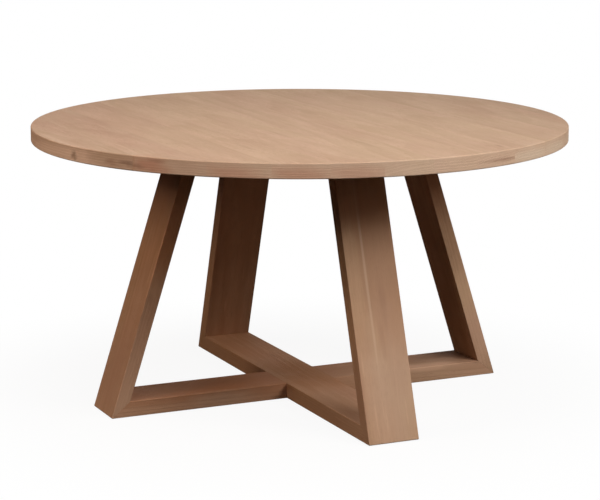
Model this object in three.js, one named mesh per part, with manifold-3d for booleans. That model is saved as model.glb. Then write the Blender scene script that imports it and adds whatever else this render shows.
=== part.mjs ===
// Round dining table: an edge-glued top on two crossed trapezoid frames
// Millimetres, +Z up, origin on the floor under the middle of the top
// One frame stands along X, the other along Y, and the grain of the top runs along Y

import * as THREE from "three";
import { mergeVertices } from "three/addons/utils/BufferGeometryUtils.js";
import Module from "manifold-3d";

const wasm = await Module();
wasm.setup();

// Top
const topDiameter = 1468;
const topThickness = 40;
const topEaseRadius = 3;
const boardCount = 12;
const firstTrimShare = 0.19;
const lastTrimShare = 0.6;
const rimSegments = 180;
const turnedSegments = 16;

// Splines between the boards of the top
const splineWidth = 24;
const splineThickness = 8;
const splineStop = 70;

// Frames
const baseHeight = 720;
const footSpan = 1173;
const headSpan = 709;
const stockWidth = 144;
const legThickness = 39;
const railHeight = 42.5;
const arrisRadius = 2;
const cornerRadius = 2.5;

// Loose tenons across the mitres
const tenonWidth = 110;
const tenonThickness = 8;
const tenonReach = 14;
const tenonPlaceShare = 0.54;

// Screws that hold the top, in slots that let its boards shrink and swell along X
const screwDiameter = 8;
const screwGrip = 25;
const screwEngagement = 11;
const screwTipChamfer = 1;
const headDiameter = 17;
const headHeight = 5;
const headChamfer = 1.2;
const socketAcross = 5;
const socketDepth = 3;
const slotTravel = 6;
const screwPlaceShares = [0.23, 0.745];

// Threaded inserts in the underside of the top
const insertDiameter = 12;
const insertLength = 13;
const flangeDiameter = 16;
const flangeHeight = 1.5;
const tipRoom = 1;

// Glides under the feet
const glideDiameter = 30;
const glideThickness = 2;
const glideEase = 0.5;
const glideInset = 60;

// Clearances
const glueLine = 0.3;
const lapClearance = 0.3;
const fitClearance = 0.3;
const overrun = 10;

// Finishes
const oak = { color: 0xc0a085, roughness: 0.55, metalness: 0 };
const oakDark = { color: 0x9a7458, roughness: 0.6, metalness: 0 };
const beech = { color: 0xd2b48c, roughness: 0.7, metalness: 0 };
const zincSteel = { color: 0x9da1a4, roughness: 0.35, metalness: 1 };
const brass = { color: 0xb08d57, roughness: 0.4, metalness: 1 };
const felt = { color: 0x3a3431, roughness: 0.95, metalness: 0 };
const boardToneShares = [1, 0.94, 0.98, 0.91, 0.96];

// Sizes that follow from the ones above
const topRadius = topDiameter / 2;
const boardWidth = topDiameter / (boardCount - firstTrimShare - lastTrimShare);
const footCorner = new THREE.Vector2(footSpan / 2, 0);
const headCorner = new THREE.Vector2(headSpan / 2, baseHeight);
const legSlope = (footCorner.x - headCorner.x) / baseHeight;
const legRun = legThickness * Math.hypot(1, legSlope);
const footInside = new THREE.Vector2(footCorner.x - legSlope * railHeight - legRun, railHeight);
const headInside = new THREE.Vector2(
  headCorner.x + legSlope * railHeight - legRun,
  baseHeight - railHeight,
);
const lapHalf = stockWidth / 2 + lapClearance;
const screwPlaces = screwPlaceShares.map((share) => lapHalf + share * (headInside.x - lapHalf));
const topUnderside = glideThickness + baseHeight;

// Turns a closed geometry into a solid that can be cut
function solidFrom(geometry) {
  const bare = new THREE.BufferGeometry();
  bare.setAttribute("position", geometry.getAttribute("position").clone());
  bare.setIndex(geometry.getIndex());
  const merged = mergeVertices(bare);
  const index = merged.getIndex().array;
  const triangles = [];
  for (let i = 0; i < index.length; i += 3) {
    const [a, b, c] = index.slice(i, i + 3);
    if (a !== b && b !== c && c !== a) triangles.push(a, b, c);
  }
  return new wasm.Manifold(
    new wasm.Mesh({
      numProp: 3,
      vertProperties: Float32Array.from(merged.getAttribute("position").array),
      triVerts: Uint32Array.from(triangles),
    }),
  );
}

// Gives a solid back as a flat-shaded geometry
function geometryFrom(solid) {
  const { vertProperties, triVerts, numProp } = solid.getMesh();
  const indexed = new THREE.BufferGeometry();
  const positions = new Float32Array((vertProperties.length / numProp) * 3);
  for (let i = 0; i < positions.length / 3; i += 1) {
    positions.set(vertProperties.subarray(i * numProp, i * numProp + 3), i * 3);
  }
  indexed.setAttribute("position", new THREE.BufferAttribute(positions, 3));
  indexed.setIndex(new THREE.BufferAttribute(Uint32Array.from(triVerts), 1));
  const geometry = indexed.toNonIndexed();
  geometry.computeVertexNormals();
  return geometry;
}

function makeMesh(name, geometry, finish) {
  const mesh = new THREE.Mesh(geometry, new THREE.MeshStandardMaterial(finish));
  mesh.name = name;
  return mesh;
}

// A profile turned about Z
function turned(profile) {
  return solidFrom(new THREE.LatheGeometry(profile, turnedSegments).rotateX(Math.PI / 2));
}

function numbered(stem, i) {
  return `${stem}_${String(i + 1).padStart(2, "0")}`;
}

// A block between two corners
function block(low, high) {
  const size = new THREE.Vector3().subVectors(high, low);
  const geometry = new THREE.BoxGeometry(size.x, size.y, size.z);
  const middle = new THREE.Vector3().addVectors(low, high).divideScalar(2);
  return solidFrom(geometry.translate(middle.x, middle.y, middle.z));
}

// An outline in the plane of a frame, run through the width of the stock
function frameExtrusion(shape, width, options = {}) {
  const bevel = options.bevelThickness ?? 0;
  const geometry = new THREE.ExtrudeGeometry(shape, {
    depth: width - 2 * bevel,
    bevelEnabled: false,
    ...options,
  });
  geometry.translate(0, 0, bevel - width / 2);
  return solidFrom(geometry.rotateX(Math.PI / 2));
}

// A convex outline whose corners are rounded to one radius
function roundedShape(corners, radius) {
  const shape = new THREE.Shape();
  corners.forEach((corner, i) => {
    const before = corners.at(i - 1).clone().sub(corner).normalize();
    const after = corners[(i + 1) % corners.length].clone().sub(corner).normalize();
    const halfAngle = Math.acos(before.dot(after)) / 2;
    const setback = radius / Math.tan(halfAngle);
    const bisector = before.clone().add(after).normalize();
    const centre = bisector.multiplyScalar(radius / Math.sin(halfAngle)).add(corner);
    const start = before.multiplyScalar(setback).add(corner).sub(centre);
    const end = after.multiplyScalar(setback).add(corner).sub(centre);
    shape.absarc(centre.x, centre.y, radius, start.angle(), end.angle(), false);
  });
  shape.closePath();
  return shape;
}

// A slot with round ends, along X, seen from above and run upwards
function stadium(radius, travel) {
  const shape = new THREE.Shape();
  shape.absarc(travel / 2, 0, radius, -Math.PI / 2, Math.PI / 2, false);
  shape.absarc(-travel / 2, 0, radius, Math.PI / 2, Math.PI * 1.5, false);
  shape.closePath();
  return shape;
}

function mirrored(point) {
  return new THREE.Vector2(-point.x, point.y);
}

// The whole frame glued up and sanded: one closed ring with eased arrises
function frameRing() {
  const outline = [footCorner, headCorner, mirrored(headCorner), mirrored(footCorner)];
  const shape = roundedShape(outline, cornerRadius);
  const inside = [footInside, mirrored(footInside), mirrored(headInside), headInside];
  shape.holes.push(new THREE.Path(inside));
  return frameExtrusion(shape, stockWidth, {
    curveSegments: 2,
    bevelEnabled: true,
    bevelThickness: arrisRadius,
    bevelSize: arrisRadius,
    bevelOffset: -arrisRadius,
    bevelSegments: 3,
  });
}

// One mitre, from the outer corner of the frame to the inner one
function mitreAt(outer, inner) {
  const along = inner.clone().sub(outer).normalize();
  const across = new THREE.Vector2(along.y, -along.x);
  return { outer, inner, along, across, length: outer.distanceTo(inner) };
}

const footMitre = mitreAt(footCorner, footInside);
const headMitre = mitreAt(headCorner, headInside);

// The two ends of a mitre cut, moved aside by half the glue line
function cutEnds(mitre, side) {
  const aside = mitre.across.clone().multiplyScalar((side * glueLine) / 2);
  const outer = mitre.along.clone().multiplyScalar(-overrun).add(mitre.outer).add(aside);
  const inner = mitre.along.clone().multiplyScalar(overrun).add(mitre.inner).add(aside);
  return { outer, inner };
}

function regionOf(points) {
  return frameExtrusion(new THREE.Shape(points), stockWidth + 2 * overrun);
}

// The stretch of the frame between the mitres of one leg, on the +X side
function legRegion() {
  const foot = cutEnds(footMitre, 1);
  const head = cutEnds(headMitre, -1);
  return regionOf([foot.outer, head.outer, head.inner, foot.inner]);
}

// The stretch between the two mitres of a rail
function railRegion(mitre, side) {
  const cut = cutEnds(mitre, side);
  return regionOf([cut.outer, cut.inner, mirrored(cut.inner), mirrored(cut.outer)]);
}

// A loose tenon with round edges, lying across a mitre
function tenonGeometry(grow) {
  const radius = tenonThickness / 2 + grow;
  const length = 2 * (tenonReach + grow);
  const geometry = new THREE.ExtrudeGeometry(stadium(radius, tenonWidth - tenonThickness), {
    depth: length,
    bevelEnabled: false,
    curveSegments: 3,
  });
  geometry.translate(0, 0, -length / 2);
  return geometry.rotateZ(Math.PI / 2).rotateY(Math.PI / 2);
}

function tenonPlace(mitre) {
  const middle = mitre.along.clone().multiplyScalar(mitre.length * tenonPlaceShare);
  middle.add(mitre.outer);
  const turn = Math.atan2(-mitre.across.y, mitre.across.x);
  return new THREE.Matrix4().makeRotationY(turn).setPosition(middle.x, 0, middle.y);
}

const flip = new THREE.Matrix4().makeRotationZ(Math.PI);

function mortise(mitre) {
  return solidFrom(tenonGeometry(fitClearance).applyMatrix4(tenonPlace(mitre)));
}

function otherEnd(solid) {
  return solid.rotate([0, 0, 180]);
}

// The notch that takes the crossing rail, in the upper or the lower half of a rail
function lapNotch(bottom, top, takesUpperHalf) {
  const half = (bottom + top) / 2;
  const low = takesUpperHalf ? half : bottom - overrun;
  const high = takesUpperHalf ? top + overrun : half;
  return block(
    new THREE.Vector3(-lapHalf, -stockWidth, low),
    new THREE.Vector3(lapHalf, stockWidth, high),
  );
}

// The arrises stay square where the rails cross, so that the lap is flush
function squareAtLap(bottom, top) {
  const half = stockWidth / 2;
  return block(
    new THREE.Vector3(-half, -half, bottom),
    new THREE.Vector3(half, half, top),
  );
}

function leg(ring) {
  return ring.intersect(legRegion()).subtract(mortise(footMitre)).subtract(mortise(headMitre));
}

function floorRail(ring, takesUpperHalf) {
  const bar = ring.intersect(railRegion(footMitre, -1)).add(squareAtLap(0, railHeight));
  return bar
    .subtract(lapNotch(0, railHeight, takesUpperHalf))
    .subtract(mortise(footMitre))
    .subtract(otherEnd(mortise(footMitre)));
}

// A screw slot and the deeper bore for its head, at one place along a top rail
function screwSlot(place, turn) {
  const bottom = baseHeight - railHeight;
  const shaft = new THREE.ExtrudeGeometry(
    stadium(screwDiameter / 2 + fitClearance, slotTravel),
    { depth: railHeight + 2 * overrun, bevelEnabled: false, curveSegments: 3 },
  );
  const bore = new THREE.ExtrudeGeometry(
    stadium(headDiameter / 2 + 2 * fitClearance, slotTravel),
    { depth: railHeight - screwGrip + overrun, bevelEnabled: false, curveSegments: 4 },
  );
  const move = new THREE.Matrix4().makeRotationZ(turn).setPosition(place, 0, bottom - overrun);
  return solidFrom(shaft.applyMatrix4(move)).add(solidFrom(bore.applyMatrix4(move)));
}

function topRail(ring, takesUpperHalf, slotTurn) {
  const bottom = baseHeight - railHeight;
  let bar = ring.intersect(railRegion(headMitre, 1)).add(squareAtLap(bottom, baseHeight));
  bar = bar
    .subtract(lapNotch(bottom, baseHeight, takesUpperHalf))
    .subtract(mortise(headMitre))
    .subtract(otherEnd(mortise(headMitre)));
  for (const place of screwPlaces) {
    bar = bar.subtract(screwSlot(place, slotTurn)).subtract(screwSlot(-place, slotTurn));
  }
  return bar;
}

// Flange-head screw with a hexagon socket, head at the bottom
function screwGeometry() {
  const shank = screwDiameter / 2;
  const head = headDiameter / 2;
  const tip = headHeight + screwGrip + screwEngagement;
  const profile = [
    new THREE.Vector2(0, 0),
    new THREE.Vector2(head - headChamfer, 0),
    new THREE.Vector2(head, headChamfer),
    new THREE.Vector2(head, headHeight),
    new THREE.Vector2(shank, headHeight),
    new THREE.Vector2(shank, tip - screwTipChamfer),
    new THREE.Vector2(shank - screwTipChamfer, tip),
    new THREE.Vector2(0, tip),
  ];
  const socketHeight = socketDepth + overrun;
  const socket = new THREE.CylinderGeometry(
    socketAcross / Math.sqrt(3),
    socketAcross / Math.sqrt(3),
    socketHeight,
    6,
  ).rotateX(Math.PI / 2);
  socket.translate(0, 0, socketDepth - socketHeight / 2);
  return geometryFrom(turned(profile).subtract(solidFrom(socket)));
}

// Flanged sleeve, flush with the underside of the top
function insertGeometry() {
  const bore = screwDiameter / 2 + fitClearance;
  const profile = [
    new THREE.Vector2(bore, 0),
    new THREE.Vector2(flangeDiameter / 2, 0),
    new THREE.Vector2(flangeDiameter / 2, flangeHeight),
    new THREE.Vector2(insertDiameter / 2, flangeHeight),
    new THREE.Vector2(insertDiameter / 2, insertLength),
    new THREE.Vector2(bore, insertLength),
    new THREE.Vector2(bore, 0),
  ];
  return geometryFrom(turned(profile));
}

// The stepped hole that an insert and the tip of its screw take in the top
function insertHole(x, y) {
  const profile = [
    new THREE.Vector2(0, -overrun),
    new THREE.Vector2(flangeDiameter / 2 + fitClearance, -overrun),
    new THREE.Vector2(flangeDiameter / 2 + fitClearance, flangeHeight),
    new THREE.Vector2(insertDiameter / 2 + fitClearance, flangeHeight),
    new THREE.Vector2(insertDiameter / 2 + fitClearance, insertLength + tipRoom),
    new THREE.Vector2(0, insertLength + tipRoom),
  ];
  return turned(profile).translate([x, y, 0]);
}

// The round top before it is parted into boards, with its rim eased above and below
function topDisc() {
  const profile = new THREE.Path();
  const flat = topRadius - topEaseRadius;
  profile.moveTo(0, 0);
  profile.lineTo(flat, 0);
  profile.absarc(flat, topEaseRadius, topEaseRadius, -Math.PI / 2, 0, false);
  profile.absarc(flat, topThickness - topEaseRadius, topEaseRadius, 0, Math.PI / 2, false);
  profile.lineTo(0, topThickness);
  const lathe = new THREE.LatheGeometry(profile.getPoints(1), rimSegments);
  return solidFrom(lathe.rotateX(Math.PI / 2));
}

// Seams between equal boards, of which the round trims the first and the last
function seamPlaces() {
  const panelStart = -topRadius - firstTrimShare * boardWidth;
  return Array.from({ length: boardCount - 1 }, (_, i) => panelStart + (i + 1) * boardWidth);
}

function splineHalfLength(seam) {
  return Math.sqrt(topRadius ** 2 - seam ** 2) - splineStop;
}

// The space of a spline, grown across the seam and at its ends by a clearance
function splineSpace(seam, clearance) {
  const halfWidth = splineWidth / 2 + clearance;
  const halfLength = splineHalfLength(seam) + clearance;
  const low = (topThickness - splineThickness) / 2;
  return block(
    new THREE.Vector3(seam - halfWidth, -halfLength, low),
    new THREE.Vector3(seam + halfWidth, halfLength, low + splineThickness),
  );
}

function buildTop(insertSpots) {
  const group = new THREE.Group();
  const disc = topDisc();
  const seams = seamPlaces();
  const edges = [-topRadius - overrun, ...seams, topRadius + overrun];
  for (let i = 0; i + 1 < edges.length; i += 1) {
    let board = disc.intersect(
      block(
        new THREE.Vector3(edges[i], -topDiameter, -overrun),
        new THREE.Vector3(edges[i + 1], topDiameter, topThickness + overrun),
      ),
    );
    for (const seam of seams.slice(Math.max(i - 1, 0), i + 1)) {
      board = board.subtract(splineSpace(seam, fitClearance));
    }
    for (const spot of insertSpots) {
      board = board.subtract(insertHole(spot.x, spot.y));
    }
    const mesh = makeMesh(numbered("top_board", i), geometryFrom(board), oak);
    mesh.material.color.multiplyScalar(boardToneShares[i % boardToneShares.length]);
    group.add(mesh);
  }
  seams.forEach((seam, i) => {
    group.add(makeMesh(numbered("top_spline", i), geometryFrom(splineSpace(seam, 0)), beech));
  });
  group.position.z = topUnderside;
  return group;
}

// One trapezoid frame with its tenons, standing along X on the floor rail
function buildFrame({ axis, ends, takesUpperHalf, slotTurn }) {
  const group = new THREE.Group();
  const ring = frameRing();
  const rightLeg = leg(ring);
  const legs = [rightLeg, otherEnd(rightLeg)];
  ends.forEach((end, i) => {
    group.add(makeMesh(`leg_${end}`, geometryFrom(legs[i]), oak));
    for (const [place, mitre] of [["foot", footMitre], ["head", headMitre]]) {
      const tenon = makeMesh(`${place}_tenon_${end}`, tenonGeometry(0), beech);
      const matrix = tenonPlace(mitre);
      if (i === 1) matrix.premultiply(flip);
      tenon.applyMatrix4(matrix);
      group.add(tenon);
    }
  });
  group.add(makeMesh(`floor_rail_${axis}`, geometryFrom(floorRail(ring, takesUpperHalf)), oakDark));
  const upper = topRail(ring, takesUpperHalf, slotTurn);
  group.add(makeMesh(`top_rail_${axis}`, geometryFrom(upper), oakDark));
  return group;
}

// Disc glued under a foot
function glideGeometry() {
  const radius = glideDiameter / 2;
  const profile = [
    new THREE.Vector2(0, 0),
    new THREE.Vector2(radius - glideEase, 0),
    new THREE.Vector2(radius, glideEase),
    new THREE.Vector2(radius, glideThickness),
    new THREE.Vector2(0, glideThickness),
  ];
  return geometryFrom(turned(profile));
}

const table = new THREE.Group();

const frameAlongX = buildFrame({
  axis: "x",
  ends: ["right", "left"],
  takesUpperHalf: true,
  slotTurn: 0,
});
frameAlongX.position.z = glideThickness;
table.add(frameAlongX);

const frameAlongY = buildFrame({
  axis: "y",
  ends: ["back", "front"],
  takesUpperHalf: false,
  slotTurn: Math.PI / 2,
});
frameAlongY.position.z = glideThickness;
frameAlongY.rotation.z = Math.PI / 2;
table.add(frameAlongY);

const alongRail = [...screwPlaces, ...screwPlaces.map((place) => -place)];
const screwSpots = [
  ...alongRail.map((place) => new THREE.Vector2(place, 0)),
  ...alongRail.map((place) => new THREE.Vector2(0, place)),
];
table.add(buildTop(screwSpots));

screwSpots.forEach((spot, i) => {
  const screw = makeMesh(numbered("screw", i), screwGeometry(), zincSteel);
  screw.position.set(spot.x, spot.y, topUnderside - screwGrip - headHeight);
  const insert = makeMesh(numbered("insert", i), insertGeometry(), brass);
  insert.position.set(spot.x, spot.y, topUnderside);
  table.add(screw, insert);
});

const glideReach = footSpan / 2 - glideInset;
const glideSpots = {
  right: [glideReach, 0],
  left: [-glideReach, 0],
  back: [0, glideReach],
  front: [0, -glideReach],
};
for (const [end, [x, y]] of Object.entries(glideSpots)) {
  const glide = makeMesh(`glide_${end}`, glideGeometry(), felt);
  glide.position.set(x, y, 0);
  table.add(glide);
}

export default table;
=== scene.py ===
import math
import random

import bmesh
import bpy
from mathutils import Euler, Matrix, Vector


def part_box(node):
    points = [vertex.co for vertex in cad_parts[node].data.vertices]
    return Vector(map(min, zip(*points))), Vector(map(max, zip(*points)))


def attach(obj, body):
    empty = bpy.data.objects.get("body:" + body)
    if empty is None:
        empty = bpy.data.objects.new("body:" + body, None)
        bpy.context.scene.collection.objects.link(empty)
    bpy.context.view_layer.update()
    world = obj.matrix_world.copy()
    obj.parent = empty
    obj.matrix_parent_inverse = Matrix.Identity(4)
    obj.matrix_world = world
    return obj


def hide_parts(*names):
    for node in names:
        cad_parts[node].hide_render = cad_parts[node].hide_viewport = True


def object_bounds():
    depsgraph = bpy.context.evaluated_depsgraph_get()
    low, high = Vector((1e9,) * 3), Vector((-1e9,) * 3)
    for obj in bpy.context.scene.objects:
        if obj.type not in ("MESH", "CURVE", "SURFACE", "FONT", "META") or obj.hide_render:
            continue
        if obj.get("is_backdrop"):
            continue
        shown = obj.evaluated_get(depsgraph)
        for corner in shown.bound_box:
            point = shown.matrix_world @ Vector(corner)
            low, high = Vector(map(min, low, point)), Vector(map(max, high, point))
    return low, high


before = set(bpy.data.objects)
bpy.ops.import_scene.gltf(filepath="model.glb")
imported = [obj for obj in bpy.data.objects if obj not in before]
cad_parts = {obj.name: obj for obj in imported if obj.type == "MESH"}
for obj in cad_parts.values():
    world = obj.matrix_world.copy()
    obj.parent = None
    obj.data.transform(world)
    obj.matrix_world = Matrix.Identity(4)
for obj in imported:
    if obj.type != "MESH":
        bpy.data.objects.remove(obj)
cadLow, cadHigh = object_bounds()
scene = bpy.context.scene
print("frame loaded,", len(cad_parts), "solids")

# Camera
cameraView = {
    "place": (-2.43513, -5.32438, 1.57162),  # metres, as all lengths here but the lens
    "heading": 24.585,  # degrees from +Y towards +X
    "pitch": -11.3,
    "lens": 128.856,
}


def linkObject(name, data):
    made = bpy.data.objects.new(name, data)
    scene.collection.objects.link(made)
    return made


scene.view_settings.view_transform = "Standard"
camera = linkObject("tableCamera", bpy.data.cameras.new("tableCamera"))
camera.data.lens = cameraView["lens"]
camera.location = cameraView["place"]
camera.rotation_euler = Euler(
    [math.radians(turn) for turn in (90 + cameraView["pitch"], 0, -cameraView["heading"])]
)
scene.camera = camera
print("camera set")


# Node helpers: a value is either a plain setting or the output that feeds it
def feed(tree, socket, value):
    if isinstance(value, bpy.types.NodeSocket):
        tree.links.new(value, socket)
    else:
        socket.default_value = value


def addNode(tree, kind, inputs=None, **settings):
    node = tree.nodes.new(kind)
    for name, value in settings.items():
        setattr(node, name, value)
    for name, value in (inputs or {}).items():
        feed(tree, node.inputs[name], value)
    return node


def calculate(tree, operation, *values):
    return addNode(tree, "ShaderNodeMath", dict(enumerate(values)), operation=operation).outputs[0]


def vectorOf(tree, operation, *values):
    inputs = dict(enumerate(values))
    return addNode(tree, "ShaderNodeVectorMath", inputs, operation=operation).outputs["Vector"]


def measureOf(tree, operation, *values):
    inputs = dict(enumerate(values))
    return addNode(tree, "ShaderNodeVectorMath", inputs, operation=operation).outputs["Value"]


def smoothStep(tree, value, start, end, low=0.0, high=1.0):
    inputs = {"Value": value, "From Min": start, "From Max": end, "To Min": low, "To Max": high}
    return addNode(tree, "ShaderNodeMapRange", inputs, interpolation_type="SMOOTHSTEP").outputs[0]


def mixColours(tree, share, first, second, blend="MIX"):
    node = addNode(tree, "ShaderNodeMix", data_type="RGBA", blend_type=blend)
    feed(tree, node.inputs[0], share)  # the colour sockets come after those of the other types
    feed(tree, node.inputs[6], first)
    feed(tree, node.inputs[7], second)
    return node.outputs[2]


def mixShaders(tree, share, first, second):
    inputs = {0: share, 1: first.outputs[0], 2: second.outputs[0]}
    return addNode(tree, "ShaderNodeMixShader", inputs)


def stretchedNoise(tree, vector, stretch, detail=2.0, roughness=0.5):
    inputs = {
        "Vector": vectorOf(tree, "MULTIPLY", vector, stretch),
        "Scale": 1.0,
        "Detail": detail,
        "Roughness": roughness,
    }
    return addNode(tree, "ShaderNodeTexNoise", inputs).outputs


def newGroup(name, inputs, outputs):
    group = bpy.data.node_groups.new(name, "ShaderNodeTree")
    for label, value in inputs.items():
        kind = "NodeSocketFloat" if isinstance(value, float) else "NodeSocketVector"
        socket = group.interface.new_socket(label, in_out="INPUT", socket_type=kind)
        socket.default_value = value
    for label in outputs:
        group.interface.new_socket(label, in_out="OUTPUT", socket_type="NodeSocketFloat")
    given = addNode(group, "NodeGroupInput").outputs
    wanted = addNode(group, "NodeGroupOutput").inputs
    return group, given, wanted


def placeGroup(tree, group, inputs):
    node = addNode(tree, "ShaderNodeGroup", node_tree=group)
    for name, value in inputs.items():
        feed(tree, node.inputs[name], value)
    return node.outputs


def newMaterial(name):
    material = bpy.data.materials.new(name)
    material.use_nodes = True
    tree = material.node_tree
    shader = next(node for node in tree.nodes if node.type == "BSDF_PRINCIPLED")
    return material, tree, shader


# Studio: a pale floor, a white surround for the camera and soft lamps
studio = {
    "white": (1, 1, 1, 1),
    "floorRadius": 40,
    "floorSteps": 96,
    "floorTint": (0.9, 0.9, 0.9, 1),
    "floorBounce": (0.02, 0.014, 0.01, 1),  # what the floor gives back to the wood
    "shadowReach": (0.5, 1.3),  # distances from the middle between which the floor shadow fades
    "shadowDepth": 0.08,
}
lamps = {
    "frontLamp": {
        "place": (0.82, -4.6, 4.77),
        "aim": (0, 0, 0.4),
        "size": (3.2, 3.5),
        "power": 178,
        "colour": (1, 1, 1),
    },
    "rightLamp": {
        "place": (3.34, -4.43, 3.6),
        "aim": (0, 0, 0.4),
        "size": (2.5, 1.9),
        "power": 121,
        "colour": (1, 0.98, 0.95),
    },
    "leftLamp": {
        "place": (-3.45, -0.3, 2.36),
        "aim": (0, 0, 0.4),
        "size": (1.6, 1.6),
        "power": 45,
        "colour": (1, 0.71, 0.51),
    },
    "overheadLamp": {
        "place": (-1.6, -1.2, 3.3),
        "aim": (-0.2, -0.2, 0.7),
        "size": (2, 2),
        "power": 33,
        "colour": (1, 1, 1),
    },
    "lowLamp": {
        "place": (1.88, -3.26, 1.73),
        "aim": (0, 0, 0.4),
        "size": (1.4, 1.4),
        "power": 13.5,
        "colour": (1, 0.69, 0.52),
    },
    "sideLamp": {
        "place": (3.42, 0, 1.1),
        "aim": (0, 0, 0.4),
        "size": (1.6, 1.6),
        "power": 6,
        "colour": (1, 0.78, 0.62),
    },
    "centreLamp": {
        "place": (0.1, -0.05, 1.6),
        "aim": (0.1, -0.05, 0.76),
        "size": (0.5, 0.5),
        "power": 0.45,
        "colour": (1, 1, 0.99),
    },
    "backLamp": {
        "place": (1.75, 3.8, 0.19),
        "aim": (0, 0, 0.3),
        "size": (2.6, 0.34),
        "power": 27,
        "colour": (1, 0.9, 0.8),
    },
    "underLamp": {  # below the clear floor, for the underside
        "place": (1.6, 1.6, -3.4),
        "aim": (0, 0, 0.2),
        "size": (2, 2),
        "power": 20,
        "colour": (1, 1, 1),
    },
}


# The camera sees the floor almost white, with part of the shadow that the table casts on it;
# reflections see the lit floor, and the wood itself gets only a little light back from it. From
# below it is clear, so that the underside can be looked at and the lamp down there reaches it
def makeFloor():
    mesh = bpy.data.meshes.new("studioFloor")
    build = bmesh.new()
    bmesh.ops.create_circle(
        build, cap_ends=True, segments=studio["floorSteps"], radius=studio["floorRadius"]
    )
    build.to_mesh(mesh)
    build.free()
    floor = linkObject("studioFloor", mesh)
    material, tree, shader = newMaterial("paleFloor")
    tree.nodes.remove(shader)
    path = addNode(tree, "ShaderNodeLightPath").outputs
    place = addNode(tree, "ShaderNodeTexCoord").outputs["Object"]
    near = smoothStep(tree, measureOf(tree, "LENGTH", place), *reversed(studio["shadowReach"]))
    white = addNode(tree, "ShaderNodeEmission", {"Color": studio["white"]})
    lit = addNode(tree, "ShaderNodeBsdfDiffuse", {"Color": studio["floorTint"]})
    dim = addNode(tree, "ShaderNodeBsdfDiffuse", {"Color": studio["floorBounce"]})
    clear = addNode(tree, "ShaderNodeBsdfTransparent")
    shadow = calculate(tree, "MULTIPLY", near, studio["shadowDepth"])
    reflected = calculate(tree, "MAXIMUM", path["Is Glossy Ray"], path["Is Transmission Ray"])
    looked = calculate(tree, "MAXIMUM", path["Is Camera Ray"], reflected)
    below = addNode(tree, "ShaderNodeNewGeometry").outputs["Backfacing"]
    clearTo = calculate(tree, "MAXIMUM", below, path["Is Shadow Ray"])
    surface = mixShaders(tree, shadow, white, lit)
    surface = mixShaders(tree, reflected, surface, lit)
    surface = mixShaders(tree, looked, dim, surface)
    surface = mixShaders(tree, clearTo, surface, clear)
    tree.links.new(surface.outputs[0], tree.nodes["Material Output"].inputs["Surface"])
    mesh.materials.append(material)
    floor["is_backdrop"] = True


# White where it is looked at or reflected; the lamps alone light the table
def makeSurround():
    world = bpy.data.worlds.new("studioSurround")
    world.use_nodes = True
    scene.world = world
    tree = world.node_tree
    path = addNode(tree, "ShaderNodeLightPath").outputs
    dark = tree.nodes["Background"]
    dark.inputs["Strength"].default_value = 0
    white = addNode(tree, "ShaderNodeBackground", {"Color": studio["white"]})
    seen = calculate(tree, "MAXIMUM", path["Is Camera Ray"], path["Is Glossy Ray"])
    seen = calculate(tree, "MAXIMUM", seen, path["Is Transmission Ray"])
    both = mixShaders(tree, seen, dark, white)
    tree.links.new(both.outputs[0], tree.nodes["World Output"].inputs["Surface"])


def makeLamp(name, settings):
    light = bpy.data.lights.new(name, "AREA")
    light.shape = "RECTANGLE"
    light.size, light.size_y = settings["size"]
    light.energy = settings["power"]
    light.color = settings["colour"]
    lamp = linkObject(name, light)
    lamp.location = settings["place"]
    toward = Vector(settings["aim"]) - lamp.location
    lamp.rotation_euler = toward.to_track_quat("-Z", "Y").to_euler()
    lamp.visible_camera = False


makeFloor()
makeSurround()
for lampName, lampSettings in lamps.items():
    makeLamp(lampName, lampSettings)
print("studio lit")


# Mesh helpers
xAxis, yAxis, zAxis = Vector((1, 0, 0)), Vector((0, 1, 0)), Vector((0, 0, 1))
sharpAngle = math.radians(35)
flatAngle = math.radians(0.05)
faceWeight = 80  # over 50, so that large faces lead in the shading
overshoot = 0.01  # how far a cutter stands out of what it cuts


def pieceFrom(name, build):
    bmesh.ops.recalc_face_normals(build, faces=build.faces)
    mesh = bpy.data.meshes.new(name)
    build.to_mesh(mesh)
    build.free()
    return linkObject(name, mesh)


def carve(piece, cutters, operation="DIFFERENCE"):
    tool = pieceFrom("cutter", cutters)
    cut = piece.modifiers.new("cut", "BOOLEAN")
    cut.object = tool
    cut.operation = operation
    cut.solver = "EXACT"
    evaluated = piece.evaluated_get(bpy.context.evaluated_depsgraph_get())
    carved = bpy.data.meshes.new_from_object(evaluated)
    piece.modifiers.remove(cut)
    spare = piece.data
    piece.data = carved
    carved.name = piece.name
    bpy.data.meshes.remove(spare)
    bpy.data.meshes.remove(tool.data)  # takes the cutter with it


def smoothFaces(piece):
    for polygon in piece.data.polygons:
        polygon.use_smooth = True
    piece.data.set_sharp_from_angle(angle=sharpAngle)
    weighted = piece.modifiers.new("evenShading", "WEIGHTED_NORMAL")
    weighted.keep_sharp = True
    weighted.weight = faceWeight


def addBlock(build, low, high):
    low, high = Vector(low), Vector(high)
    spread = Matrix.Translation((low + high) / 2) @ Matrix.Diagonal((*(high - low), 1))
    bmesh.ops.create_cube(build, size=1, matrix=spread)


# Merges points that lie together and faces that lie in one plane
def mergeFlats(build, distance):
    bmesh.ops.remove_doubles(build, verts=build.verts, dist=distance)
    bmesh.ops.dissolve_limit(build, angle_limit=flatAngle, verts=build.verts, edges=build.edges)


def joinLoops(build, loops):
    for first, second in zip(loops, loops[1:]):
        for i in range(len(first)):
            j = (i + 1) % len(first)
            build.faces.new((first[i], first[j], second[j], second[i]))


# A closed solid from equal rings of points, each joined to the next, with both ends filled
def addRings(build, rings):
    made = [[build.verts.new(point) for point in ring] for ring in rings]
    joinLoops(build, made)
    build.faces.new(made[0])
    build.faces.new(made[-1])


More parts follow.
